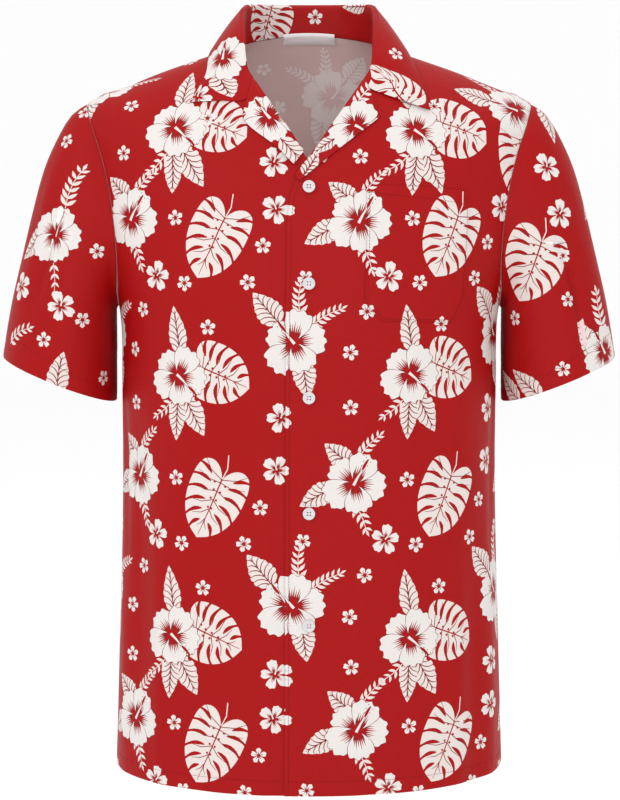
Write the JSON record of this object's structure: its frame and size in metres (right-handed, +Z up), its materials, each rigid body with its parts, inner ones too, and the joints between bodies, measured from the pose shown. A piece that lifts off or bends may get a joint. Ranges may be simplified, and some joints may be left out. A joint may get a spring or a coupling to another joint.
{
  "type": "hawaiian shirt",
  "caption": "Short-sleeved camp-collar shirt in worn form with an open neck, notched lapels, chest pocket and button front, all-over flower and leaf print.",
  "frame": {"origin": "midway between the two high shoulder points, where the neck seam meets the shoulder seams", "axes": "+X to the wearer's left, the front faces -Y, +Z up"},
  "size_m": [0.614, 0.267, 0.7682],
  "materials": {
    "cloth": "smooth woven shirting with a soft sheen, white flower and leaf print on red",
    "label": "woven satin label, bare",
    "button": "polished white four-hole button"
  },
  "bodies": {
    "root": {"front_left": "cloth", "front_right": "cloth", "back": "cloth", "sleeve_left": "cloth", "sleeve_right": "cloth", "collar": "cloth", "lapel_left": "cloth", "lapel_right": "cloth", "pocket": "cloth", "label": "label", "button_1": "button", "button_2": "button", "button_3": "button", "button_4": "button", "button_5": "button"}
  },
  "joints": []
}
